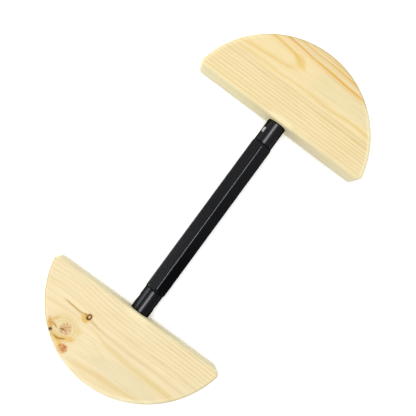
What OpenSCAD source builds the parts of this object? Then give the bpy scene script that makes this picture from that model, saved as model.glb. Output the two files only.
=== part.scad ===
// Hat stretcher: two half-moon blocks of pine, pushed apart by a turnbuckle.
// It lies flat on Z = 0. Y runs along the turnbuckle from the rear block to the front block,
// and X across the blocks. It is drawn closed, with the turnbuckle's ends against the blocks.

/* [Blocks] */
// Radius of a block's curved side
arc_r = 47.5; // [45:0.5:52]
// How far behind the straight face the curved side has its centre
arc_setback = 7.25; // [4:0.25:9]
// Radius of the two corners, seen from above
corner_r = 2.5; // [2.5:0.25:6]
// Thickness of the board
board_t = 20; // [16:0.5:25]
// Rounding along every edge
edge_r = 1.5; // [1:0.25:2.25]
// Countersink at the mouth of the stud's hole
mouth_chamfer = 0.5; // [0.2:0.1:1]
// Number of steps along the curved side
arc_steps = 40; // [24:2:60]

/* [Turnbuckle] */
// Length of the turnbuckle from end to end
body_l = 110; // [100:1:125]
// Width of the hexagon across its flats
hex_af = 10; // [10:0.1:11]
// Diameter of the round ends
end_d = 9.6; // [9:0.1:9.8]
// Length of a round end
end_l = 12.4; // [10:0.1:15]
// Chamfer round the rim of a round end
rim_chamfer = 0.5; // [0.2:0.1:0.8]
// How far the turned chamfer takes down the hexagon's corners
corner_chamfer = 0.5; // [0.3:0.05:0.7]
// Length of the turned chamfer on the hexagon's corners
corner_chamfer_l = 1.2; // [0.8:0.1:2]
// Length of the threaded bore in from each end
thread_l = 15; // [12:0.5:20]
// Diameter of the plain bore between the threaded ones
relief_d = 6.8; // [6.4:0.1:7]
// Diameter of an inspection hole
sight_d = 3; // [2:0.1:3.5]
// Distance from the turnbuckle's end to the middle of its inspection hole
sight_y = 5.8; // [4:0.1:8]
// Turn of the front inspection hole from straight up
front_sight_turn = 55; // [0:5:90]
// Turn of the rear inspection hole from straight up
rear_sight_turn = 90; // [0:5:90]

/* [Studs] */
// Diameter over the threads
stud_d = 6; // [6:0.1:6.2]
// Length of a stud inside the closed turnbuckle
stud_in_body = 38; // [30:1:50]
// Length of a stud in its block
stud_in_block = 29; // [20:1:34]
// Length of machine thread that runs on into the block
thread_in_block = 2; // [1:0.5:4]
// Diameter of the plain neck between machine thread and wood thread
neck_d = 5.2; // [4.8:0.1:5.6]
// Length of the neck
neck_l = 2.5; // [1:0.5:5]
// Length of the tapered point
point_l = 6; // [3:0.5:8]
// Diameter at the very tip
tip_d = 1.6; // [1:0.2:3]
// Clearance of a stud all round in its bores
stud_gap = 0.05; // [0.02:0.01:0.1]
// Room left past a stud's tip in its block
tip_room = 0.5; // [0.2:0.1:2]

/* [Hidden] */
$fn = 96;
// Facets round a rounded edge or corner
round_fn = 32;
// Extra length where a cutter leaves a surface
past = 1;
// Height of the turnbuckle's axis, half way up the board
axis_z = board_t / 2;
// Places along Y: the turnbuckle's end, with the straight face on it, and the centre of the curved side
end_y = body_l / 2;
arc_y = end_y - arc_setback;
// Centre of a corner's rounding. It lies where a circle of corner_r touches both the face and the curve
corner_y = end_y + corner_r;
corner_x = sqrt(pow(arc_r - corner_r, 2) - pow(corner_y - arc_y, 2));
// Direction in which corner and curve meet, from either centre
corner_turn = atan2(corner_y - arc_y, corner_x);
// Hexagon over its corners
hex_r = hex_af / 2 / cos(30);
hex_l = body_l - 2 * end_l;
// Bore for a stud, and the drill point at its bottom
bore_d = stud_d + 2 * stud_gap;
drill_point_l = bore_d / 2 * tan(30);
bore_l = stud_in_block + tip_room;

// Turns what is drawn along Z so that it lies along the turnbuckle's axis
module along_axis() {
    translate([0, 0, axis_z])
        rotate([-90, 0, 0])
            children();
}

// Half section of the board with a rounded edge: from 0 to r, and from Z = 0 to the board's thickness
module edge_section(r) {
    intersection() {
        square([r, board_t]);
        union() {
            square([r - edge_r, board_t]);
            translate([0, edge_r])
                square([r, board_t - 2 * edge_r]);
            for (z = [edge_r, board_t - edge_r])
                translate([r - edge_r, z])
                    circle(r = edge_r, $fn = round_fn);
        }
    }
}

// Round plate with a rounded rim
module rounded_plate(r) {
    rotate_extrude($fn = round_fn)
        edge_section(r);
}

// Half-moon of board with every edge rounded, spanned between round plates along its outline
module half_moon() {
    reach = arc_r - edge_r;
    arc_step = (180 - 2 * corner_turn) / arc_steps;
    hull() {
        for (turn = [corner_turn : arc_step : 180 - corner_turn + arc_step / 2])
            translate([0, arc_y, 0])
                rotate([0, 0, turn])
                    translate([reach, 0, 0])
                        rounded_plate(edge_r);
        for (side = [-1, 1])
            translate([side * corner_x, corner_y, 0])
                rounded_plate(corner_r);
    }
}

// Blind hole for the stud, bored in from the straight face and countersunk
module block_bore() {
    along_axis()
        rotate_extrude()
            polygon([
                [0, end_y - past],
                [bore_d / 2 + mouth_chamfer + past, end_y - past],
                [bore_d / 2, end_y + mouth_chamfer],
                [bore_d / 2, end_y + bore_l],
                [0, end_y + bore_l + drill_point_l],
            ]);
}

module block() {
    difference() {
        half_moon();
        block_bore();
    }
}

module front_block() {
    color("wheat")
        block();
}

module rear_block() {
    color("wheat")
        mirror([0, 1, 0])
            block();
}

// Hexagonal bar with its corners turned down at both ends
module hex_bar() {
    low_r = hex_r - corner_chamfer;
    intersection() {
        rotate([0, 0, 30])
            cylinder(r = hex_r, h = hex_l, center = true, $fn = 6);
        rotate_extrude()
            polygon([
                [0, -hex_l / 2],
                [low_r, -hex_l / 2],
                [low_r + 2 * corner_chamfer, -hex_l / 2 + 2 * corner_chamfer_l],
                [low_r + 2 * corner_chamfer, hex_l / 2 - 2 * corner_chamfer_l],
                [low_r, hex_l / 2],
                [0, hex_l / 2],
            ]);
    }
}

// Round bar over the full length, which stands out of the hexagon as the two round ends
module round_bar() {
    r = end_d / 2;
    rotate_extrude()
        polygon([
            [0, -end_y],
            [r - rim_chamfer, -end_y],
            [r, -end_y + rim_chamfer],
            [r, end_y - rim_chamfer],
            [r - rim_chamfer, end_y],
            [0, end_y],
        ]);
}

// Stepped bore right through: a threaded bore from each end, flared at its mouth, and a plain one between
module stepped_bore() {
    r = bore_d / 2;
    flare = rim_chamfer;
    step_y = end_y - thread_l;
    rotate_extrude()
        polygon([
            [0, -end_y - past],
            [r + flare + past, -end_y - past],
            [r, -end_y + flare],
            [r, -step_y],
            [relief_d / 2, -step_y + (relief_d / 2 - r)],
            [relief_d / 2, step_y - (relief_d / 2 - r)],
            [r, step_y],
            [r, end_y - flare],
            [r + flare + past, end_y + past],
            [0, end_y + past],
        ]);
}

// Inspection hole through both walls. It is placed along Y from the middle and turned about Y from straight up
module sight_hole(distance, turn) {
    translate([0, distance, axis_z])
        rotate([0, -turn, 0])
            cylinder(d = sight_d, h = end_d + 2 * past, center = true);
}

module turnbuckle_body() {
    color([0.13, 0.13, 0.13])
        difference() {
            along_axis()
                union() {
                    hex_bar();
                    round_bar();
                }
            along_axis()
                stepped_bore();
            sight_hole(end_y - sight_y, front_sight_turn);
            sight_hole(sight_y - end_y, rear_sight_turn);
        }
}

// Hanger bolt: machine thread inside the turnbuckle, a neck, then the wood thread down to its point
module stud() {
    r = stud_d / 2;
    chamfer = 0.6;
    inner_y = end_y - stud_in_body;
    neck_y = end_y + thread_in_block;
    wood_y = neck_y + neck_l;
    tip_y = end_y + stud_in_block;
    along_axis()
        rotate_extrude()
            polygon([
                [0, inner_y],
                [r - chamfer, inner_y],
                [r, inner_y + chamfer],
                [r, neck_y],
                [neck_d / 2, neck_y + (r - neck_d / 2)],
                [neck_d / 2, wood_y],
                [r, wood_y + (r - neck_d / 2)],
                [r, tip_y - point_l],
                [tip_d / 2, tip_y],
                [0, tip_y],
            ]);
}

module front_stud() {
    color("silver")
        stud();
}

module rear_stud() {
    color("silver")
        mirror([0, 1, 0])
            stud();
}

front_block();
rear_block();
turnbuckle_body();
front_stud();
rear_stud();
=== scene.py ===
"""Looks of the hat stretcher: two half-moon blocks of pine on a blackened hexagonal turnbuckle.

Lengths in the tables below are in millimetres, in the model's own frame: Y along the turnbuckle to the
front block, X across the blocks, Z up, with the blocks lying on Z = 0. The meshes are in metres.
"""

import math

import bmesh
import bpy
import numpy as np
from mathutils import Matrix, Vector


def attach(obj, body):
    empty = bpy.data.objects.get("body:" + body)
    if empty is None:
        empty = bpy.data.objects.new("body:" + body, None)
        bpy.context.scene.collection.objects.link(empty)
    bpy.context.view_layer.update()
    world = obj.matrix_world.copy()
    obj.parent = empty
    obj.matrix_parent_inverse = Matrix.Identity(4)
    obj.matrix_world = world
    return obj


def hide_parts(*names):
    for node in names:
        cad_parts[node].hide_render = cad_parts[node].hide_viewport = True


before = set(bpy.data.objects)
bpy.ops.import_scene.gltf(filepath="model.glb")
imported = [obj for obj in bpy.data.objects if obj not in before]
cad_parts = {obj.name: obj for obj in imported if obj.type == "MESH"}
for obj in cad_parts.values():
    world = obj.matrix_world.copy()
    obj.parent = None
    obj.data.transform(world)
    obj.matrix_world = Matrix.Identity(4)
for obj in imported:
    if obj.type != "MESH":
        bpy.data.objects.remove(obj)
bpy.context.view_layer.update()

MM = 0.001

# Blocks
ARC_R = 47.5
ARC_SETBACK = 7.25
CORNER_R = 2.5
BOARD_T = 20.0
EDGE_R = 1.5
MOUTH = 0.5
BORE_R = 3.05
BORE_END = 84.5
AXIS_Z = BOARD_T / 2

# Turnbuckle
END_Y = 55.0
HEX_Y = 42.6
HEX_R = 10.0 / 2 / math.cos(math.radians(30))
ROUND_R = 4.8
THREAD_L = 15.0
RELIEF_R = 3.4
SIGHT_R = 1.5
SIGHT_Y = 5.8
SIGHT_TURNS = (55.0, 90.0)

# Studs
PITCH = 1.0
STUD_INNER = 17.0
STUD_NECK = 57.0
STUD_WOOD = 59.5
STUD_TIP = 84.0
STUD_POINT = 6.0

ARC_Y = END_Y - ARC_SETBACK
CORNER_Y = END_Y + CORNER_R
CORNER_X = math.sqrt((ARC_R - CORNER_R) ** 2 - (CORNER_Y - ARC_Y) ** 2)
CORNER_TURN = math.atan2(CORNER_Y - ARC_Y, CORNER_X)


# Meshes


def make_piece(name, points, faces, crease=35.0):
    """A mesh object from points in millimetres and faces given as arrays of point numbers. Every edge
    that bends by more than the crease angle shows as an edge, and the rest is smooth."""
    mesh = bpy.data.meshes.new(name)
    mesh.from_pydata((points * MM).tolist(), [], [f for block in faces for f in block.tolist()])
    mesh.validate()
    piece = bpy.data.objects.new(name, mesh)
    bpy.context.scene.collection.objects.link(piece)
    shade(piece, crease)
    return piece


def shade(piece, crease):
    """Smooth shading with creases at every edge that bends by more than the given angle."""
    mesh = piece.data
    mesh.polygons.foreach_set("use_smooth", np.ones(len(mesh.polygons), bool))
    mesh.set_sharp_from_angle(angle=math.radians(crease))


def wrap_faces(rows, columns, closed_rows=False):
    """Quads of a grid of rows x columns points, whose columns run round and close, and whose rows close
    too if asked. They face outwards where the rows go along an axis and the columns turn about it by the
    right-hand rule."""
    r = np.arange(rows if closed_rows else rows - 1)[:, None]
    c = np.arange(columns)[None, :]
    r2, c2 = (r + 1) % rows, (c + 1) % columns
    quads = np.stack([r * columns + c, r * columns + c2, r2 * columns + c2, r2 * columns + c], -1)
    return quads.reshape(-1, 4)


def capped_tube(rings):
    """Closed surface over rings of points, an array of rings x points x 3. The first and last ring each
    close on a point at their own middle."""
    rows, columns = rings.shape[:2]
    ends = np.stack([rings[0].mean(0), rings[-1].mean(0)])
    points = np.concatenate([rings.reshape(-1, 3), ends])
    c = np.arange(columns)
    n = (c + 1) % columns
    first = np.stack([np.full(columns, rows * columns), n, c], -1)
    last = (rows - 1) * columns
    final = np.stack([np.full(columns, rows * columns + 1), last + c, last + n], -1)
    return points, [wrap_faces(rows, columns), first, final]


def turned(y, radius, columns=64):
    """Rings of a turned form along Y: at each y a circle of the given radius about the turnbuckle's axis.
    The radius may also be a table of y x angle."""
    turn = np.linspace(0, 2 * math.pi, columns, endpoint=False)[None, :]
    r = np.broadcast_to(np.asarray(radius, float).reshape(len(y), -1), (len(y), columns))
    along = np.broadcast_to(np.asarray(y, float)[:, None], r.shape)
    return np.stack([r * np.sin(turn), along, AXIS_Z + r * np.cos(turn)], -1)


def make_triangles(mesh, sliver=0.0):
    """Cuts every face of a mesh into triangles, after closing up slivers narrower than so many millimetres."""
    work = bmesh.new()
    work.from_mesh(mesh)
    if sliver:
        bmesh.ops.remove_doubles(work, verts=work.verts, dist=sliver * MM)
        bmesh.ops.dissolve_degenerate(work, edges=work.edges, dist=sliver * MM)
    bmesh.ops.triangulate(work, faces=work.faces)
    work.to_mesh(mesh)
    work.free()


def cut(piece, cutter):
    """Takes the cutter's form out of the piece and throws the cutter away. The cut is made between triangles, as
    they are flat, and what comes out is cleaned of slivers."""
    make_triangles(piece.data)
    step = piece.modifiers.new("cut", "BOOLEAN")
    step.operation = "DIFFERENCE"
    step.solver = "EXACT"
    step.object = cutter
    bpy.context.view_layer.update()
    seen = piece.evaluated_get(bpy.context.evaluated_depsgraph_get())
    mesh = bpy.data.meshes.new_from_object(seen)
    make_triangles(mesh, sliver=0.001)
    piece.modifiers.clear()
    piece.data = mesh
    mesh.name = piece.name
    bpy.data.objects.remove(cutter)


def block_outline(inset, arc_steps=180, corner_steps=24, face_steps=91):
    """The front block's outline seen from above, drawn in by an inset: the straight face, a corner, the
    curved side and the other corner. Gives the points and the outward directions, anticlockwise."""
    face_x = np.linspace(-CORNER_X, CORNER_X, face_steps, endpoint=False)
    face = np.stack([face_x, np.full(face_steps, END_Y + inset)], -1)
    face_n = np.tile([0.0, -1.0], (face_steps, 1))

    def arc(cx, cy, r, start, stop, steps):
        t = np.linspace(start, stop, steps, endpoint=False)
        n = np.stack([np.cos(t), np.sin(t)], -1)
        return np.array([cx, cy]) + (r - inset) * n, n

    down = -math.pi / 2
    right, right_n = arc(CORNER_X, CORNER_Y, CORNER_R, down, CORNER_TURN, corner_steps)
    crown, crown_n = arc(0, ARC_Y, ARC_R, CORNER_TURN, math.pi - CORNER_TURN, arc_steps)
    left, left_n = arc(-CORNER_X, CORNER_Y, CORNER_R, math.pi - CORNER_TURN, math.pi - down, corner_steps)
    return np.concatenate([face, right, crown, left]), np.concatenate([face_n, right_n, crown_n, left_n])


def block_shell():
    """Rings of the front block from the middle of its underside over its edge to the middle of its top. The
    edge section is carried along the outline: a quarter round, the upright side and a quarter round. The
    flat faces are the same outline drawn in to a point."""
    path, out = block_outline(EDGE_R)
    middle = np.array([0.0, CORNER_Y + 12.0])
    t = np.linspace(0, math.pi / 2, 9)
    offset = np.concatenate([EDGE_R * np.sin(t), EDGE_R * np.cos(t)])
    height = np.concatenate([EDGE_R * (1 - np.cos(t)), BOARD_T - EDGE_R * (1 - np.sin(t))])
    side_xy = path[None] + offset[:, None, None] * out[None]
    side = np.concatenate([side_xy, np.broadcast_to(height[:, None, None], side_xy.shape[:2] + (1,))], -1)
    shrink = np.array([0.03, 0.3, 0.6, 0.85, 0.97])[:, None, None]
    flat_xy = middle + shrink * (path[None] - middle)
    under = np.concatenate([flat_xy, np.zeros(flat_xy.shape[:2] + (1,))], -1)
    top = np.concatenate([flat_xy[::-1], np.full(flat_xy.shape[:2] + (1,), BOARD_T)], -1)
    return np.concatenate([under, side, top])


def half_turn(points):
    """The same points half a turn further about the Z axis, from the front block's place to the rear's."""
    return points * np.array([-1.0, -1.0, 1.0])


def bore_rings():
    """Cutter for the stud's hole: a turned form with a countersink at the straight face and a drill point."""
    y = np.array([END_Y - 1.0, END_Y + MOUTH, BORE_END, BORE_END + 1.7])
    r = np.array([BORE_R + MOUTH + 1.0, BORE_R, BORE_R, 0.1])
    return turned(y, r, 96)


def hexagon_section(corner=0.35, flat_steps=9, corner_steps=7):
    """Points round the hexagon, corner up, with its corners rounded. Each corner is an arc about a centre set
    in along the corner's own direction, and the flats are straight between the arcs."""
    turns = np.radians(np.arange(0, 360, 60))
    spread = np.radians(np.linspace(-30, 30, corner_steps))
    heart = HEX_R - corner / math.cos(math.radians(30))
    angle = turns[:, None] + spread[None, :]
    centre = heart * np.stack([np.sin(turns), np.cos(turns)], -1)[:, None]
    arcs = centre + corner * np.stack([np.sin(angle), np.cos(angle)], -1)
    share = np.linspace(0, 1, flat_steps + 1, endpoint=False)[1:, None]
    ends, starts = arcs[:, -1], np.roll(arcs, -1, 0)[:, 0]
    flats = ends[:, None] + share[None] * (starts - ends)[:, None]
    return np.concatenate([arcs, flats], 1).reshape(-1, 2)


def thread_wave(y, turn, hand, crest=0.125, root=0.25):
    """Depth of a screw thread, 1 on the crest and 0 at the root, at distance y and angle turn about +Y. It is a
    ramp up, a flat crest, a ramp down and a flat root, carried round as a helix. hand is 1 for a right-hand
    thread and -1 for a left-hand one."""
    phase = (y / PITCH - hand * turn / (2 * math.pi)) % 1.0
    off = np.abs(phase - 0.5)
    return np.clip((off - root / 2) / (0.5 - root / 2 - crest / 2), 0, 1)


def turnbuckle_shell():
    """Rings of the turnbuckle, outside from the rear end to the front end and then back through its bore, closed
    into one shell. Outside, the hexagon's section is held under a cone at each end, which leaves the
    turned chamfers on its corners. Inside, each end holds a helical thread and the middle is plain."""
    section = hexagon_section()
    size = np.hypot(section[:, 0], section[:, 1])
    way = section / size[:, None]
    turn = np.arctan2(way[:, 0], way[:, 1])

    hex_y = np.array([0, 0.15, 0.4, 0.7, 1.0, 1.3, 1.7, 2.4, 6.0, 14.0, 24.0, 34.0]) - HEX_Y
    hex_y = np.concatenate([hex_y, [0.0], -hex_y[::-1]])
    cone = HEX_R - 0.5 + (HEX_Y - np.abs(hex_y)) * (0.5 / 1.2)
    hex_r = np.minimum(size[None], cone[:, None])
    end_y = END_Y - np.array([0, 0.04, 0.15, 0.2, 1.0, 3.0, 5.0, 7.0, 9.0, 11.0, 12.25, 12.4])
    end_r = ROUND_R + np.array([-0.25, -0.16, -0.04, 0, 0, 0, 0, 0, 0, 0, 0, 0.06])
    end_table = np.broadcast_to(end_r[:, None], (len(end_r), len(size)))

    seat_y = END_Y - np.concatenate([[0.05, 0.3], np.arange(0.5, THREAD_L, PITCH / 8)])
    reach = np.clip((END_Y - seat_y) / 0.6, 0, 1)[:, None]

    def thread(hand, side):
        wave = 1 - thread_wave(side * seat_y[:, None], turn[None], hand)
        return BORE_R - 0.5 * wave * reach + 0.45 * (1 - reach)

    middle_y = np.linspace(END_Y - THREAD_L - 0.4, -END_Y + THREAD_L + 0.4, 12)
    middle = np.full((12, len(size)), RELIEF_R)
    y = np.concatenate([-end_y, hex_y, end_y[::-1], seat_y, middle_y, -seat_y[::-1]])
    r = np.concatenate([end_table, hex_r, end_table[::-1], thread(1, 1), middle, thread(-1, -1)[::-1]])
    rings = np.stack([r * way[None, :, 0], np.broadcast_to(y[:, None], r.shape), AXIS_Z + r * way[None, :, 1]], -1)
    return rings.reshape(-1, 3), [wrap_faces(len(y), len(size), closed_rows=True)]


def sight_rings(distance, turn):
    """Cutter for an inspection hole: a turned form through both walls, flared by a hair where it leaves the
    round end, then laid across the axis and turned about it from straight up."""
    s = np.array([-7, -4.9, -4.62, 4.62, 4.9, 7])
    r = np.array([1.75, 1.75, SIGHT_R, SIGHT_R, 1.75, 1.75])
    angle = np.linspace(0, 2 * math.pi, 48, endpoint=False)
    x = r[:, None] * np.cos(angle)
    y = distance + r[:, None] * np.sin(angle)
    along = np.broadcast_to(s[:, None], x.shape)
    t = math.radians(turn)
    return np.stack([x * math.cos(t) - along * math.sin(t), y, AXIS_Z + x * math.sin(t) + along * math.cos(t)], -1)


def stud_rings(wood_hand):
    """Rings of a stud along Y: a chamfered end, the machine thread, a neck, and the wood thread down to its
    point. The radius at each y and angle is the root's plus the thread's depth times its wave. The machine
    thread is right-handed, and wood_hand is 1 or -1 for a right-hand or left-hand wood thread."""
    columns = 48
    turn = np.linspace(0, 2 * math.pi, columns, endpoint=False)[None, :]
    fine = np.arange(STUD_INNER, STUD_NECK, PITCH / 12)[:, None]
    fade = np.clip((fine - STUD_INNER) / 0.8, 0, 1) * np.clip((STUD_NECK - fine) / 1.2, 0, 1)
    machine = 2.42 + 0.56 * thread_wave(fine, turn, 1) * fade - 0.3 * np.clip(1 - (fine - STUD_INNER) / 0.6, 0, 1)
    neck = np.array([STUD_NECK, STUD_NECK + 0.3, STUD_WOOD - 0.3])[:, None]
    neck_r = np.broadcast_to([[2.45], [2.55], [2.55]], (3, columns))
    coarse = np.arange(STUD_WOOD, STUD_TIP, 0.25)[:, None]
    slim = np.clip((STUD_TIP - coarse) / STUD_POINT, 0.14, 1)
    ridge = np.clip(1 - np.abs((coarse / 2.5 - wood_hand * turn / (2 * math.pi)) % 1.0 - 0.5) / 0.22, 0, 1)
    wood = slim * (2.15 + 0.8 * ridge * np.clip((coarse - STUD_WOOD) / 2.0, 0, 1))
    y = np.concatenate([fine, neck, coarse])[:, 0]
    return turned(y, np.concatenate([machine, neck_r, wood]), columns)


def pit_rings(x, y, radius, depth):
    """Cutter for a knot hole: rings of a blob that narrows downwards, with a lobed outline that twists as it
    goes down. Its axis is upright through x and y."""
    z = np.linspace(BOARD_T + 1.5, BOARD_T - depth, 12)[::-1]
    down = np.clip((BOARD_T - z) / depth, 0, 1)
    turn = np.linspace(0, 2 * math.pi, 30, endpoint=False)
    lobes = 1 + 0.16 * np.sin(2 * turn[None] + 0.7) + 0.08 * np.sin(5 * turn[None] + 3 * down[:, None])
    r = radius * np.sqrt(1 - 0.93 * down[:, None] ** 2) * lobes
    px, py = x + r * np.cos(turn), y + r * np.sin(turn)
    return np.stack([px, py, np.broadcast_to(z[:, None], r.shape)], -1)


# Materials


class Finish:
    """A material under construction. Each method adds one shader node and gives its output, so that a
    pattern is written down as plain sums."""

    def __init__(self, name):
        self.material = bpy.data.materials.new(name)
        self.material.use_nodes = True
        self.tree = self.material.node_tree
        self.surface = next(n for n in self.tree.nodes if n.type == "BSDF_PRINCIPLED")
        coordinates = self.tree.nodes.new("ShaderNodeTexCoord")
        self.place = self.vector("SCALE", coordinates.outputs["Object"], scale=1 / MM)
        split = self.tree.nodes.new("ShaderNodeSeparateXYZ")
        self.plug(split.inputs[0], self.place)
        self.x, self.y, self.z = split.outputs

    def plug(self, socket, value):
        """Links the socket to an output, or sets it to a number or a colour."""
        if isinstance(value, bpy.types.NodeSocket):
            self.tree.links.new(value, socket)
        else:
            socket.default_value = value

    def sum(self, operation, a, b=0.0, c=0.0, clamp=False):
        node = self.tree.nodes.new("ShaderNodeMath")
        node.operation = operation
        node.use_clamp = clamp
        for socket, value in zip(node.inputs, (a, b, c)):
            self.plug(socket, value)
        return node.outputs[0]

    def add(self, a, b):
        return self.sum("ADD", a, b)

    def less(self, a, b):
        return self.sum("SUBTRACT", a, b)

    def times(self, a, b):
        return self.sum("MULTIPLY", a, b)

    def vector(self, operation, a, b=(0, 0, 0), scale=1.0):
        node = self.tree.nodes.new("ShaderNodeVectorMath")
        node.operation = operation
        self.plug(node.inputs[0], a)
        if operation == "SCALE":
            node.inputs["Scale"].default_value = scale
        else:
            self.plug(node.inputs[1], b)
        return node.outputs[0]

    def point(self, x, y, z):
        node = self.tree.nodes.new("ShaderNodeCombineXYZ")
        for socket, value in zip(node.inputs, (x, y, z)):
            self.plug(socket, value)
        return node.outputs[0]

    def noise(self, at, scale=1.0, detail=2.0, roughness=0.5):
        """Smooth noise from 0 to 1 about 0.5."""
        node = self.tree.nodes.new("ShaderNodeTexNoise")
        self.plug(node.inputs["Vector"], at)
        node.inputs["Scale"].default_value = scale
        node.inputs["Detail"].default_value = detail
        node.inputs["Roughness"].default_value = roughness
        return node.outputs["Fac"]

    def ease(self, value, start, stop, low=0.0, high=1.0):
        """Goes smoothly from low to high as the value goes from start to stop."""
        node = self.tree.nodes.new("ShaderNodeMapRange")
        node.interpolation_type = "SMOOTHSTEP"
        for socket, v in zip(node.inputs, (value, start, stop, low, high)):
            self.plug(socket, v)
        return node.outputs[0]

    def blend(self, share, a, b, way="MIX"):
        node = self.tree.nodes.new("ShaderNodeMix")
        node.data_type = "RGBA"
        node.blend_type = way
        for socket, v in ((node.inputs[0], share), (node.inputs[6], a), (node.inputs[7], b)):
            self.plug(socket, v)
        return node.outputs[2]

    def green(self, colour):
        """How much green a colour has, which says how pale the wood is."""
        node = self.tree.nodes.new("ShaderNodeSeparateColor")
        self.plug(node.inputs[0], colour)
        return node.outputs[1]

    def hill(self, value, width):
        """1 where the value is 0, falling away as a bell of the given half width."""
        scaled = self.sum("DIVIDE", value, width)
        return self.sum("EXPONENT", self.times(self.times(scaled, scaled), -1.0))

    def bump(self, height, distance, strength=1.0):
        node = self.tree.nodes.new("ShaderNodeBump")
        self.plug(node.inputs["Height"], height)
        node.inputs["Distance"].default_value = distance * MM
        node.inputs["Strength"].default_value = strength
        self.tree.links.new(node.outputs[0], self.surface.inputs["Normal"])

    def route(self, points, value=None, start=-50.0, stop=50.0):
        """A curve through points, which gives a number for each value, or for each X if no value is named."""
        node = self.tree.nodes.new("ShaderNodeFloatCurve")
        line = node.mapping.curves[0]
        low = min(v for _, v in points)
        span = max(v for _, v in points) - low
        at = [((u - start) / (stop - start), (v - low) / span) for u, v in points]
        line.points[0].location, line.points[1].location = at[0], at[-1]
        for u, v in at[1:-1]:
            line.points.new(u, v)
        node.mapping.update()
        value = self.x if value is None else value
        self.plug(node.inputs["Value"], self.times(self.less(value, start), 1 / (stop - start)))
        return self.add(self.times(node.outputs[0], span), low)

    def spot(self, x, y, wide, high, turn=0.0):
        """Distance from a point of the top face, 1 on an ellipse of those half axes turned by so many degrees."""
        c, s = math.cos(math.radians(turn)), math.sin(math.radians(turn))
        dx, dy = self.less(self.x, x), self.less(self.grain_y, y)
        u = self.times(self.add(self.times(dx, c), self.times(dy, s)), 1 / wide)
        v = self.times(self.less(self.times(dy, c), self.times(dx, s)), 1 / high)
        return self.sum("SQRT", self.add(self.times(u, u), self.times(v, v)))


CREAM = (0.74, 0.625, 0.415, 1)
TAN = (0.57, 0.43, 0.19, 1)
RING = (0.60, 0.46, 0.21, 1)
HONEY = (0.665, 0.47, 0.13, 1)
ORANGE = (0.66, 0.325, 0.008, 1)
UMBER = (0.25, 0.10, 0.015, 1)
DARK = (0.12, 0.042, 0.004, 1)


def start_pine(name, lean):
    """Bare sanded pine whose grain runs along X. The growth rings lean with height, so the sides and the
    underside carry on the lines of the top. Noise drawn out along the grain makes the rings wander a little."""
    pine = Finish(name)
    slow = pine.point(pine.times(pine.x, 0.03), pine.times(pine.y, 0.1), pine.times(pine.z, 0.1))
    wander = pine.times(pine.less(pine.noise(slow, detail=3), 0.5), 0.9)
    tilt = pine.times(pine.less(pine.z, BOARD_T), lean)
    pine.grain_y = pine.add(pine.add(pine.y, tilt), wander)
    return pine


def growth_lines(pine, level, width=0.19):
    """Lines of late wood, one at each whole number of the level, and a little uneven along the grain. Each is a
    bell across the ring, so it has soft sides."""
    off = pine.less(pine.sum("FRACT", pine.add(level, 0.5)), 0.5)
    vary = pine.noise(pine.point(pine.times(pine.x, 0.07), pine.times(level, 1.3), 0.0), detail=2)
    return pine.times(pine.hill(off, width), pine.ease(vary, 0.3, 0.62, 0.55, 1.0))


def late_line(pine, off, width, seed):
    """One strong line of late wood where off is 0, with a sharp core and a soft glow on its inner side. Noise along
    the grain varies its strength."""
    vary = pine.noise(pine.point(pine.times(pine.x, 0.06), seed, 0.0), detail=2)
    core = pine.times(pine.hill(off, width), pine.ease(vary, 0.25, 0.6, 0.75, 1.0))
    glow = pine.times(pine.hill(pine.add(off, 0.5), pine.times(width, 2.2)), 0.36)
    return pine.sum("MAXIMUM", core, glow)


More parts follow.
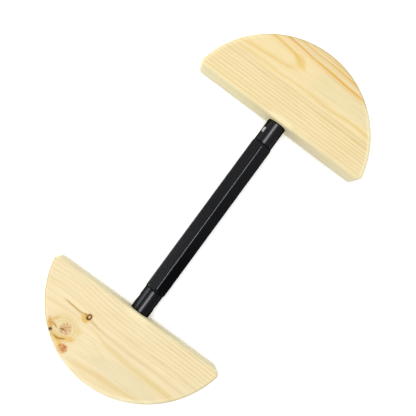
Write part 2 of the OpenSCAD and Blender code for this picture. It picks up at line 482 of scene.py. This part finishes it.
def finish_pine(pine, colour, lines, sawn_face_tint_and_light, painted_edge_light_share, painted_rim_light_by_x, painted_rim_shade_by_x):
    """Adds what all the wood has: slow shade from board growth, fibres along the grain and short pores, with
    the late wood standing a hair proud."""
    fibre_at = pine.point(pine.times(pine.x, 0.05), pine.times(pine.grain_y, 2.2), pine.times(pine.z, 2.2))
    fibres = pine.noise(fibre_at, detail=4, roughness=0.65)
    pore_at = pine.point(pine.times(pine.x, 0.16), pine.times(pine.grain_y, 6.0), pine.times(pine.z, 6.0))
    pores = pine.ease(pine.noise(pore_at, detail=1), 0.66, 0.8)
    cloud = pine.noise(pine.point(pine.times(pine.x, 0.03), pine.times(pine.y, 0.08), 2.0), detail=2)

    # The sawn straight face is a little greyer, and is also painted paler as painted light
    sawn = pine.ease(pine.sum("ABSOLUTE", pine.y), END_Y + 1.3, END_Y + 0.3)
    colour = pine.blend(pine.times(sawn, 0.85), colour, sawn_face_tint_and_light)
    # Painted light: a paler band on the rounded top edge above the straight face
    painted_edge_light = pine.ease(pine.sum("ABSOLUTE", pine.y), END_Y + 2.0, END_Y + 1.2)
    painted_edge_light = pine.times(painted_edge_light, pine.hill(pine.less(pine.z, BOARD_T - 1.0), 0.7))
    colour = pine.blend(pine.times(painted_edge_light, painted_edge_light_share), colour, (0.87, 0.76, 0.44, 1))
    # Painted light: the top edge beside the turnbuckle's end is painted paler, against the shade the turnbuckle casts
    # there
    painted_light_by_turnbuckle = pine.times(pine.ease(pine.sum("ABSOLUTE", pine.x), 8.0, 4.0), pine.ease(pine.z, BOARD_T - 4.0, BOARD_T - 1.5))
    painted_light_by_turnbuckle = pine.times(painted_light_by_turnbuckle, pine.ease(pine.sum("ABSOLUTE", pine.y), END_Y + 4.0, END_Y + 1.2))
    colour = pine.blend(pine.times(painted_light_by_turnbuckle, 0.5), colour, (0.90, 0.80, 0.50, 1))
    # Painted shade: darker towards the bottom edge
    colour = pine.blend(pine.ease(pine.z, 2.6, 1.0, 0.0, 0.8), colour, (0.30, 0.29, 0.22, 1))

    # Rim of the curved side: painted light on the rounded edge in some places and painted shade in others
    off = pine.less(pine.sum("ABSOLUTE", pine.y), ARC_Y)
    reach = pine.sum("SQRT", pine.add(pine.times(pine.x, pine.x), pine.times(off, off)))
    upper = pine.times(pine.ease(pine.z, BOARD_T - 3.0, BOARD_T - 1.2), pine.less(1.0, sawn))
    pale = pine.times(pine.ease(reach, ARC_R - 2.6, ARC_R - 1.1), pine.times(upper, pine.route(painted_rim_light_by_x)))
    colour = pine.blend(pale, colour, (0.88, 0.81, 0.55, 1))
    painted_rim_shade = pine.times(pine.hill(pine.less(reach, ARC_R - 0.45), 0.33), pine.times(upper, pine.route(painted_rim_shade_by_x)))
    colour = pine.blend(painted_rim_shade, colour, (0.42, 0.36, 0.20, 1))
    pale = pine.ease(pine.green(colour), 0.1, 0.4)
    colour = pine.blend(pine.times(pale, pine.ease(cloud, 0.35, 0.75, 0.0, 0.25)), colour, CREAM)
    colour = pine.blend(pine.times(pale, pine.ease(fibres, 0.42, 0.76, 0.0, 0.5)), colour, TAN)
    colour = pine.blend(pine.times(pale, pine.times(pores, 0.35)), colour, (0.60, 0.40, 0.17, 1))
    pine.plug(pine.surface.inputs["Base Color"], colour)
    rough = pine.add(pine.times(fibres, 0.18), 0.44)
    pine.plug(pine.surface.inputs["Roughness"], rough)
    pine.surface.inputs["Specular IOR Level"].default_value = 0.18
    height = pine.add(pine.times(fibres, 0.6), pine.times(lines, 0.5))
    pine.bump(pine.less(height, pine.times(pores, 0.5)), 0.05, 0.6)
    return pine.material


def front_pine():
    """The front block's board: close straight rings next to the turnbuckle, an arched tongue on the left half way
    up, and strong wide rings near the curved side."""
    pine = start_pine("front pine", 0.22)
    y, x = pine.grain_y, pine.x
    base = (0.755, 0.61, 0.334, 1)

    # Close rings, numbered from the straight face. The last are further apart and stronger
    places = (53.4, 55.3, 57.1, 58.9, 60.6, 62.6, 64.1, 65.6, 67.2, 69.0)
    level = pine.route([(place, number) for number, place in enumerate(places)] + [(80.0, 9.5)], y, 50.0, 82.0)
    rings = pine.times(growth_lines(pine, level), pine.ease(y, 70.3, 69.6))
    rings = pine.times(rings, pine.ease(y, 60.0, 70.0, 0.78, 0.84))
    rings = pine.sum("MAXIMUM", rings, pine.times(pine.hill(pine.less(y, 70.95), 0.5), 0.72))
    colour = pine.blend(rings, base, RING)

    # Line that closes them, warmer on the right
    close = pine.route([(-46, 72.9), (-35, 73.2), (-25, 73.7), (-15, 73.5), (-8, 74.1), (2, 74.1), (12, 73.5), (20, 73.8),
                        (27, 74.4), (33, 74.2), (40, 73.4)])
    warm = pine.times(pine.hill(pine.less(y, close), 0.75), pine.ease(x, -12.0, 24.0, 0.5, 0.86))
    colour = pine.blend(warm, colour, HONEY)

    # Tongue: its two limbs lie at the same distance above and below a middle line, and meet at its tip
    middle = pine.route([(-46, 80.6), (-38, 81.0), (-30, 81.6), (-20, 81.7), (-12, 81.6), (-7, 81.4)])
    half = pine.route([(-46, 6.0), (-38, 5.6), (-25, 4.8), (-20, 4.3), (-15, 3.75), (-12, 3.1), (-10, 2.35), (-8.5, 1.5),
                       (-7.6, 0.75), (-7.0, 0.0), (-6.0, -1.2), (-4.0, -3.6)])
    rise = pine.less(y, middle)
    lean = pine.ease(x, -14.0, -8.0, 1.0, 0.62)
    out = pine.times(pine.less(pine.sum("ABSOLUTE", rise), half), lean)
    limb = pine.hill(out, pine.ease(x, -15.0, -7.0, 0.68, 1.6))
    upper = pine.ease(rise, -1.6, 0.8, 0.55, 1.0)
    upper = pine.times(upper, pine.ease(x, -13.0, -8.0, 0.97, 0.62))
    upper = pine.times(upper, pine.sum("MAXIMUM", pine.ease(rise, -1.0, 1.0), pine.ease(x, -9.5, -13.0, 0.45, 1.0)))
    colour = pine.blend(pine.times(limb, upper), colour, (0.645, 0.39, 0.055, 1))
    fan = pine.ease(pine.spot(-8.4, 83.2, 5.8, 2.3, -26), 1.0, 0.2)
    colour = pine.blend(pine.times(fan, 0.45), colour, (0.70, 0.48, 0.13, 1))
    inner = pine.times(pine.ease(out, 0.3, -0.8), pine.ease(out, -3.4, -0.8))
    colour = pine.blend(pine.times(inner, 0.25), colour, HONEY)
    echo = pine.hill(pine.less(out, 1.55), 0.45)
    echo = pine.times(echo, pine.times(pine.ease(rise, 0.5, 2.5), pine.ease(x, -20.0, -9.0)))
    colour = pine.blend(pine.times(echo, 0.35), colour, HONEY)

    # Plain wood between them is a little greyer
    plain = pine.times(pine.ease(y, 75.5, 78.5), pine.ease(x, -4.0, 6.0))
    plain = pine.sum("MAXIMUM", pine.times(plain, 0.55), pine.times(pine.ease(y, 88.5, 90.0), 0.9))
    colour = pine.blend(plain, colour, (0.665, 0.57, 0.335, 1))

    # Wide rings near the curved side
    first = pine.route([(-30, 90.5), (-20, 89.8), (-15, 89.5), (-10, 89.1), (-5, 88.6), (5, 88.1), (15, 87.4), (25, 86.8), (32, 86.2)])
    second = pine.route([(-24, 92.9), (-13, 92.2), (-5, 91.7), (5, 91.5), (15, 90.9), (24, 90.0)])
    strong = late_line(pine, pine.less(y, first), pine.ease(x, -19.0, -9.0, 0.76, 0.62), 1.0)
    strong = pine.sum("MAXIMUM", strong, pine.times(late_line(pine, pine.less(y, second), 0.46, 4.1), 0.95))
    for up, width, depth in ((1.55, 0.32, 0.68), (2.3, 0.28, 0.62), (3.0, 0.25, 0.55)):
        thin = pine.times(pine.hill(pine.less(pine.less(y, second), up), width), depth)
        strong = pine.sum("MAXIMUM", strong, thin)
    colour = pine.blend(strong, colour, ORANGE)
    core = pine.times(pine.hill(pine.less(y, first), 0.3), pine.ease(x, 2.0, -16.0, 0.15, 0.5))
    colour = pine.blend(core, colour, (0.55, 0.20, 0.004, 1))
    return finish_pine(pine, colour, pine.sum("MAXIMUM", strong, rings), (0.785, 0.70, 0.42, 1), 0.2,
                       painted_rim_light_by_x=[(-47, 0.3), (-32, 0.3), (-26, 0.0), (8, 0.0), (24, 0.15), (32, 0.6), (47, 0.7)],
                       painted_rim_shade_by_x=[(-47, 0.0), (-33, 0.1), (-27, 0.5), (-8, 0.5), (8, 0.45), (27, 0.4), (34, 0.0), (47, 0.0)])


def rear_pine():
    """The rear block's board: close rings next to the turnbuckle that arch over a group of knots on the left,
    and broad soft rings on the right."""
    pine = start_pine("rear pine", -0.22)
    x = pine.x
    y = pine.grain_y
    base = (0.75, 0.622, 0.388, 1)
    swell = pine.route([(-46, 2.0), (-40, 2.4), (-35, 2.8), (-30, 2.8), (-25, 2.4), (-20, 1.8), (-15, 1.25), (-10, 0.8),
                        (-5, 0.4), (5, 0.1), (15, 0.0), (30, -0.3), (46, -0.8)])
    depth = pine.less(swell, y)

    # Close rings, numbered from the straight face
    places = (53.8, 55.7, 57.5, 59.3, 61.2, 63.0, 64.9, 67.0)
    level = pine.route([(place, number) for number, place in enumerate(places)] + [(78.0, 7.5)], depth, 50.0, 82.0)
    rings = pine.times(growth_lines(pine, level), pine.ease(depth, 68.4, 67.8))
    rings = pine.times(rings, pine.ease(depth, 58.0, 66.0, 0.74, 0.52))
    rings = pine.times(rings, pine.ease(x, -16.0, 26.0, 0.76, 1.15))
    rings = pine.sum("MAXIMUM", rings, pine.times(pine.hill(pine.less(depth, 68.9), 0.4), 0.38))
    colour = pine.blend(rings, base, RING)

    def dye(mask, share, tint):
        nonlocal colour
        colour = pine.blend(pine.times(mask, share), colour, tint)

    # Olive-brown line that runs through the small knot
    brown = pine.times(pine.ease(x, -16.0, 6.0, 0.62, 0.46), pine.ease(x, -34.0, -26.0, 0.3, 1.0))
    dye(pine.hill(pine.less(depth, 72.2), pine.ease(x, -16.0, 4.0, 0.55, 0.95)), brown, (0.55, 0.41, 0.17, 1))

    # Broad soft rings, whose two limbs meet in a tongue that points right
    band = pine.route([(-46, 77.0), (-30, 75.2), (-15, 74.3), (-5, 75.4), (5, 76.4), (15, 77.0), (35, 77.3), (46, 77.3)])
    off = pine.less(depth, band)
    dye(pine.hill(off, pine.ease(x, -12.0, 6.0, 0.7, 1.6)), pine.ease(x, -25.0, 5.0, 0.3, 0.66), (0.62, 0.465, 0.18, 1))
    dye(pine.hill(pine.less(off, 2.3), 1.0), pine.ease(x, 4.0, 30.0, 0.0, 0.35), (0.66, 0.50, 0.22, 1))
    middle = pine.route([(-24, -82.6), (-12, -82.0), (0, -81.6)])
    half = pine.route([(-24, 6.4), (-16, 5.2), (-10, 3.8), (-5, 2.3), (-2, 1.2), (0, 0.0), (1.5, -1.4)])
    rise = pine.less(y, middle)
    out = pine.times(pine.less(pine.sum("ABSOLUTE", rise), half), 0.85)
    limbs = pine.times(pine.hill(out, 0.7), pine.ease(x, -13.0, -7.0))
    dye(limbs, 0.34, (0.66, 0.50, 0.22, 1))
    dye(pine.ease(pine.spot(-1.6, -81.5, 2.4, 1.3), 1.0, 0.2), 0.4, HONEY)
    low = pine.route([(-14, -90.6), (-8, -90.0), (0, -89.1), (10, -88.5), (20, -87.6), (30, -86.0)])
    dye(pine.hill(pine.less(y, low), 1.5), pine.ease(x, -19.0, -8.0, 0.0, 0.66), (0.64, 0.46, 0.18, 1))
    dye(pine.ease(pine.less(y, low), -1.5, -3.0), pine.ease(x, -14.0, -8.0, 0.0, 0.28), (0.67, 0.51, 0.22, 1))

    dye(pine.ease(pine.spot(12.0, -83.2, 22.0, 5.0), 1.05, 0.7), 0.6, (0.665, 0.57, 0.36, 1))

    # Rings round the large knot
    grit = pine.noise(pine.place, scale=1.1, detail=3, roughness=0.6)
    ragged = pine.times(pine.less(grit, 0.5), 0.9)
    round_it = pine.add(pine.spot(-24.0, -80.4, 1.0, 0.86), pine.times(ragged, 0.5))
    hoops = pine.sum("FRACT", pine.times(round_it, 1 / 1.55))
    hoops = pine.times(pine.hill(pine.less(hoops, 0.5), 0.24), pine.ease(round_it, 3.4, 4.2))
    dye(pine.ease(round_it, 12.0, 3.0), 0.55, (0.66, 0.50, 0.21, 1))
    dye(pine.times(hoops, pine.ease(round_it, 9.0, 5.0)), 0.55, (0.54, 0.38, 0.13, 1))

    # Resin glow round the group
    amber = (0.64, 0.37, 0.06, 1)
    dye(pine.ease(pine.add(pine.spot(-19.2, -70.9, 2.4, 1.7, -35), ragged), 1.15, 0.35), 0.8, amber)
    dye(pine.ease(pine.add(pine.spot(-17.9, -72.1, 1.9, 1.0, 10), ragged), 1.2, 0.3), 0.8, amber)
    dye(pine.ease(pine.add(pine.spot(-30.4, -81.8, 3.2, 1.4, -50), ragged), 1.25, 0.4), 0.97, (0.53, 0.25, 0.02, 1))
    dye(pine.ease(pine.add(pine.spot(-29.6, -78.6, 2.5, 0.8, 52), ragged), 1.2, 0.3), 0.8, (0.60, 0.36, 0.08, 1))
    dye(pine.ease(pine.add(pine.spot(-24.5, -86.4, 5.9, 2.2, -14), ragged), 1.15, 0.3), 0.85, amber)
    dye(pine.ease(pine.add(pine.spot(-18.8, -83.0, 3.0, 1.5, 22), ragged), 1.2, 0.2), 0.95, (0.66, 0.40, 0.06, 1))
    dye(pine.ease(pine.add(pine.spot(-17.7, -77.8, 2.4, 1.8), ragged), 1.2, 0.2), 0.5, (0.66, 0.46, 0.12, 1))

    # Small round knot: a dark ring with a pale heart, and a streak of resin along the grain to both sides
    knot = pine.add(pine.spot(-17.5, -69.5, 1.2, 1.45, -8), pine.times(ragged, 0.3))
    dye(pine.ease(knot, 1.6, 1.0), 0.85, (0.45, 0.21, 0.03, 1))
    dye(pine.ease(knot, 1.1, 0.88), 0.98, (0.09, 0.032, 0.004, 1))
    dye(pine.ease(pine.add(pine.spot(-17.4, -69.3, 0.55, 0.75), ragged), 1.25, 0.6), 0.95, (0.64, 0.42, 0.17, 1))
    dye(pine.ease(pine.add(pine.spot(-19.5, -69.1, 0.65, 0.4), ragged), 1.2, 0.5), 0.85, (0.20, 0.09, 0.015, 1))
    streak = pine.route([(-34, -69.3), (-31, -69.2), (-28, -69.4), (-25, -69.6), (-22, -69.7), (-20, -69.4), (-18, -69.4),
                         (-16, -69.9), (-14, -70.4), (-11, -71.0), (-8, -71.4)])
    run = pine.sum("MAXIMUM", pine.times(pine.ease(x, -32.6, -28.5, 0.0, 0.82), pine.ease(x, -18.0, -18.6)),
                   pine.times(pine.ease(x, -16.4, -15.9), pine.ease(x, -8.0, -14.5, 0.0, 0.5)))
    dye(pine.hill(pine.less(y, streak), 0.34), run, (0.40, 0.22, 0.015, 1))

    # Large pinkish knot with dark flecks
    big = pine.add(pine.spot(-23.2, -80.2, 2.85, 2.9, 20), pine.times(ragged, 0.7))
    dye(pine.ease(big, 1.2, 0.5), 0.8, (0.57, 0.32, 0.13, 1))
    flecks = pine.ease(pine.noise(pine.place, scale=0.95, detail=3, roughness=0.6), 0.49, 0.56)
    dye(pine.times(flecks, pine.ease(big, 1.15, 0.7)), 0.62, (0.27, 0.12, 0.05, 1))
    dye(pine.ease(pine.add(pine.spot(-24.3, -81.1, 1.2, 0.6, 15), pine.times(ragged, 0.6)), 1.2, 0.6), 0.72, (0.20, 0.09, 0.02, 1))
    dye(pine.ease(pine.add(pine.spot(-28.1, -81.3, 2.4, 0.48, -23), pine.times(ragged, 0.7)), 1.2, 0.4), 0.85, (0.34, 0.18, 0.04, 1))

    # Resin streak under it, curved like a dish
    dish = pine.route([(-29, -83.4), (-27.5, -84.6), (-26, -85.4), (-24.5, -85.4), (-22.5, -84.9), (-20.8, -84.1), (-19, -83.3)])
    under = pine.less(y, dish)
    run = pine.times(pine.ease(x, -28.6, -27.0), pine.ease(x, -19.4, -21.6))
    dye(pine.times(pine.hill(under, 1.3), run), 0.8, (0.62, 0.34, 0.03, 1))
    dye(pine.times(pine.hill(under, 0.5), run), 0.78, (0.26, 0.105, 0.002, 1))

    # Red-brown knot near the curved side
    red = pine.add(pine.spot(-19.2, -88.1, 2.6, 2.3, 15), pine.times(ragged, 0.6))
    dye(pine.ease(pine.add(pine.spot(-20.6, -89.2, 4.0, 2.6, -25), ragged), 1.2, 0.5), 0.7, (0.68, 0.44, 0.08, 1))
    dye(pine.ease(red, 1.25, 0.75), 0.92, (0.61, 0.285, 0.045, 1))
    heart = pine.add(pine.spot(-18.5, -87.8, 1.5, 1.6), pine.times(ragged, 0.6))
    dye(pine.ease(heart, 1.2, 0.5), 0.7, (0.50, 0.175, 0.08, 1))
    dye(pine.times(flecks, pine.ease(red, 1.15, 0.8)), 0.6, (0.30, 0.085, 0.025, 1))

    # Dark wall of the knot hole
    dye(pine.ease(pine.add(pine.spot(-28.7, -84.0, 0.95, 0.95), pine.times(ragged, 0.3)), 1.2, 0.85), 0.98, DARK)
    return finish_pine(pine, colour, rings, (0.83, 0.74, 0.45, 1), 0.6,
                       painted_rim_light_by_x=[(-47, 0.0), (-32, 0.1), (-26, 0.3), (-8, 0.35), (8, 0.6), (27, 0.6), (33, 0.3), (47, 0.3)],
                       painted_rim_shade_by_x=[(-47, 0.7), (-33, 0.6), (-27, 0.1), (8, 0.0), (27, 0.05), (33, 0.4), (47, 0.4)])


def black_steel():
    """Blackened steel, satin: near black, a fine grain from the drawn bar along Y, faint marks from handling, corners
    where the black has worn through, painted light and shade along the bar and on the uppermost corner, painted shade
    under the shoulders and at the rims, and bare metal with a painted glint in the two inspection holes."""
    steel = Finish("blackened steel")
    x, y, z = steel.x, steel.y, steel.less(steel.z, AXIS_Z)
    drawn_at = steel.point(steel.times(x, 3.2), steel.times(y, 0.12), steel.times(steel.z, 3.2))
    drawn = steel.noise(drawn_at, detail=4, roughness=0.6)
    pitted = steel.noise(steel.place, scale=2.4, detail=4, roughness=0.7)
    smear = steel.noise(steel.point(steel.times(x, 0.3), steel.times(y, 0.08), steel.z), scale=0.5)
    colour = steel.blend(steel.ease(pitted, 0.35, 0.7), (0.015, 0.0155, 0.0165, 1), (0.026, 0.0265, 0.028, 1))
    colour = steel.blend(steel.ease(smear, 0.5, 0.75, 0.0, 0.5), colour, (0.029, 0.029, 0.029, 1))

    # Painted light and shade: paler towards the front, and darker on the far side of the rear half
    colour = steel.blend(steel.ease(y, 5.0, 40.0, 0.0, 0.6), colour, (0.036, 0.036, 0.038, 1))
    painted_far_side_shade = steel.times(steel.ease(y, 0.0, -30.0, 0.0, 0.8), steel.ease(x, 0.3, 0.8))
    colour = steel.blend(painted_far_side_shade, colour, (0.006, 0.006, 0.007, 1))

    # The round ends are a little paler than the hexagon
    radius = steel.sum("SQRT", steel.add(steel.times(x, x), steel.times(z, z)))
    along = steel.sum("ABSOLUTE", y)
    colour = steel.blend(steel.ease(along, HEX_Y - 0.05, HEX_Y, 0.0, 0.5), colour, (0.036, 0.036, 0.039, 1))

    # Worn corners: everything further from the axis than the flats reach, most on the corners that lie
    # uppermost, where the bright line is also a painted highlight, and the turned chamfers' rims
    corner = steel.times(steel.ease(radius, 5.62, 5.67), steel.ease(pitted, 0.30, 0.55, 0.6, 1.0))
    corner = steel.times(corner, steel.ease(steel.sum("ABSOLUTE", x), 2.0, 3.0, 1.0, 0.15))
    shoulder = steel.times(steel.hill(steel.less(along, HEX_Y - 0.35), 0.3), steel.ease(radius, 5.0, 5.2, 0.0, 0.25))
    colour = steel.blend(steel.sum("MAXIMUM", corner, shoulder), colour, (0.075, 0.075, 0.08, 1))

    # Painted shade: black in the corner under each shoulder and at each rim
    root = steel.times(steel.ease(along, HEX_Y - 0.05, HEX_Y), steel.ease(along, HEX_Y + 0.75, HEX_Y + 0.45))
    tube_end_shade = steel.ease(along, END_Y - 0.7, END_Y - 0.4)
    painted_crease_shade = steel.times(steel.sum("MAXIMUM", root, tube_end_shade), steel.ease(radius, 5.2, 5.0))
    colour = steel.blend(steel.times(painted_crease_shade, 0.85), colour, (0.003, 0.003, 0.003, 1))

    # Bare metal just inside the rims of the inspection holes, near each hole's own axis, kept to their lower side as a
    # painted glint
    bare_wall_and_glint = None
    for distance, turn in zip((END_Y - SIGHT_Y, SIGHT_Y - END_Y), SIGHT_TURNS):
        c, s = math.cos(math.radians(turn)), math.sin(math.radians(turn))
        aside = steel.add(steel.times(x, c), steel.times(z, s))
        off = steel.less(y, distance)
        reach = steel.sum("SQRT", steel.add(steel.times(aside, aside), steel.times(off, off)))
        wall = steel.times(steel.ease(reach, 1.62, 1.55), steel.ease(aside, -0.45, -0.85))
        bare_wall_and_glint = wall if bare_wall_and_glint is None else steel.sum("MAXIMUM", bare_wall_and_glint, wall)
    bare_wall_and_glint = steel.times(bare_wall_and_glint, steel.times(steel.ease(radius, 4.68, 4.6), steel.ease(radius, 3.2, 3.4)))
    colour = steel.blend(bare_wall_and_glint, colour, (0.90, 0.90, 0.90, 1))
    steel.plug(steel.surface.inputs["Base Color"], colour)
    steel.plug(steel.surface.inputs["Metallic"], steel.less(1.0, steel.times(bare_wall_and_glint, 0.7)))
    steel.surface.inputs["Specular Tint"].default_value = (0.25, 0.25, 0.25, 1)
    rough = steel.add(steel.times(drawn, 0.16), steel.times(pitted, 0.14))
    steel.plug(steel.surface.inputs["Roughness"], steel.add(rough, 0.12))
    steel.bump(steel.add(steel.times(drawn, 0.7), steel.times(pitted, 0.6)), 0.02, 0.5)
    return steel.material


def bright_steel():
    """Bright zinc-plated steel: metal with a faint blue cast, a little unevenness and thread roots painted darker as
    shade.
    """
    steel = Finish("bright steel")
    mottle = steel.noise(steel.place, scale=1.3, detail=3, roughness=0.6)
    turn_marks = steel.noise(steel.point(steel.x, steel.times(steel.y, 9.0), steel.z), scale=0.8, detail=2)
    colour = steel.blend(steel.ease(mottle, 0.35, 0.7), (0.60, 0.61, 0.63, 1), (0.74, 0.74, 0.74, 1))
    dx, dz = steel.x, steel.less(steel.z, AXIS_Z)
    radius = steel.sum("SQRT", steel.add(steel.times(dx, dx), steel.times(dz, dz)))
    # Painted shade: the thread roots are painted dark
    colour = steel.blend(steel.ease(radius, 2.9, 2.5, 0.0, 0.85), colour, (0.06, 0.058, 0.055, 1))
    steel.plug(steel.surface.inputs["Base Color"], colour)
    steel.surface.inputs["Metallic"].default_value = 1.0
    steel.plug(steel.surface.inputs["Roughness"], steel.add(steel.times(turn_marks, 0.22), 0.16))
    steel.bump(turn_marks, 0.01, 0.4)
    return steel.material


def pale_floor():
    """Plain white sweep of matt board."""
    floor = Finish("floor")
    speck = floor.noise(floor.place, scale=0.02, detail=2)
    colour = floor.blend(speck, (0.96, 0.96, 0.96, 1), (0.985, 0.985, 0.985, 1))
    floor.plug(floor.surface.inputs["Base Color"], colour)
    floor.surface.inputs["Roughness"].default_value = 0.9
    floor.surface.inputs["Specular IOR Level"].default_value = 0.1
    floor.surface.inputs["Emission Color"].default_value = (1, 1, 1, 1)
    floor.surface.inputs["Emission Strength"].default_value = 0.15
    return floor.material


# Pieces


def settle(piece, body, node, material, crease=35.0):
    """Gives a finished piece its material and its place in the model."""
    shade(piece, crease)
    piece.data.materials.clear()
    piece.data.materials.append(material)
    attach(piece, body)
    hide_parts(node)


def make_blocks():
    points, faces = capped_tube(block_shell())
    for side in ("front", "rear"):
        place = half_turn if side == "rear" else np.copy
        wood = make_piece(side + "_wood", place(points), faces)
        hole, hole_faces = capped_tube(bore_rings())
        cut(wood, make_piece("bore", place(hole), hole_faces))
        if side == "rear":
            pit, pit_faces = capped_tube(pit_rings(-28.7, -84.0, 0.62, 2.2))
            cut(wood, make_piece("pit", pit, pit_faces))
        material = rear_pine() if side == "rear" else front_pine()
        settle(wood, side + "_block", side + "_block", material)


def make_turnbuckle():
    points, faces = turnbuckle_shell()
    body = make_piece("hexagon_body", points, faces)
    for distance, turn in zip((END_Y - SIGHT_Y, SIGHT_Y - END_Y), SIGHT_TURNS):
        hole, hole_faces = capped_tube(sight_rings(distance, turn))
        cut(body, make_piece("sight", hole, hole_faces))
    settle(body, "turnbuckle", "turnbuckle_body", black_steel(), 28.0)


def make_studs():
    """Both studs. The rear one is turned over in Y, its faces with it. That makes its machine thread
    left-handed, and its wood thread right-handed like the front one's."""
    material = bright_steel()
    for side, wood_hand in (("front", 1), ("rear", -1)):
        rings = stud_rings(wood_hand)
        points, faces = capped_tube(rings)
        if side == "rear":
            points = points * np.array([1.0, -1.0, 1.0])
            faces = [f[:, ::-1] for f in faces]
        stud = make_piece(side + "_screw", points, faces)
        settle(stud, side + "_stud", side + "_stud", material, 25.0)


def make_floor():
    mesh = bpy.data.meshes.new("floor")
    r = 3.0
    mesh.from_pydata([(-r, -r, 0), (r, -r, 0), (r, r, 0), (-r, r, 0)], [], [(0, 1, 2, 3)])
    floor = bpy.data.objects.new("floor", mesh)
    bpy.context.scene.collection.objects.link(floor)
    mesh.materials.append(pale_floor())
    mesh.transform(Matrix.Translation((0, 0, -0.0002)))


# Light and camera


def look_at(thing, place, target, up):
    """Puts a light or camera at a place, looking at the target, with the given direction upright in its view."""
    back = (Vector(place) - Vector(target)).normalized()
    right = Vector(up).cross(back).normalized()
    turn = Matrix((right, back.cross(right), back)).transposed().to_4x4()
    thing.matrix_world = Matrix.Translation(place) @ turn


def add_light(name, place, target, size, power, colour=(1, 1, 1)):
    lamp = bpy.data.lights.new(name, "AREA")
    lamp.shape = "RECTANGLE"
    lamp.size, lamp.size_y = size
    lamp.energy = power
    lamp.color = colour
    thing = bpy.data.objects.new(name, lamp)
    bpy.context.scene.collection.objects.link(thing)
    look_at(thing, place, target, (0, 1, 0))


def light_scene():
    world = bpy.data.worlds.new("studio")
    bpy.context.scene.world = world
    world.use_nodes = True
    background = world.node_tree.nodes["Background"]
    background.inputs["Color"].default_value = (0.95, 0.98, 1.0, 1)
    background.inputs["Strength"].default_value = 0.48
    add_light("overhead", (-0.14, 0.03, 1.5), (0, 0.03, 0), (0.55, 0.85), 17.0)
    add_light("left", (-1.15, -0.35, 0.35), (0, 0, 0), (0.5, 0.9), 6.0)
    bpy.context.scene.view_settings.view_transform = "Standard"


def add_camera():
    """The photograph's viewpoint, worked out from the outline of both blocks and the turnbuckle."""
    lens = bpy.data.cameras.new("camera")
    lens.sensor_width = 36.0
    lens.lens = 73.334
    lens.clip_start = 0.01
    camera = bpy.data.objects.new("camera", lens)
    bpy.context.scene.collection.objects.link(camera)
    roll = math.radians(36.378)
    look_at(camera, (-0.0198995, -0.0187451, 0.4102744), (-0.0029551, 0.0034429, 0.01),
            (-math.sin(roll), math.cos(roll), 0))
    bpy.context.scene.camera = camera


add_camera()
light_scene()
make_floor()
make_blocks()
make_turnbuckle()
make_studs()
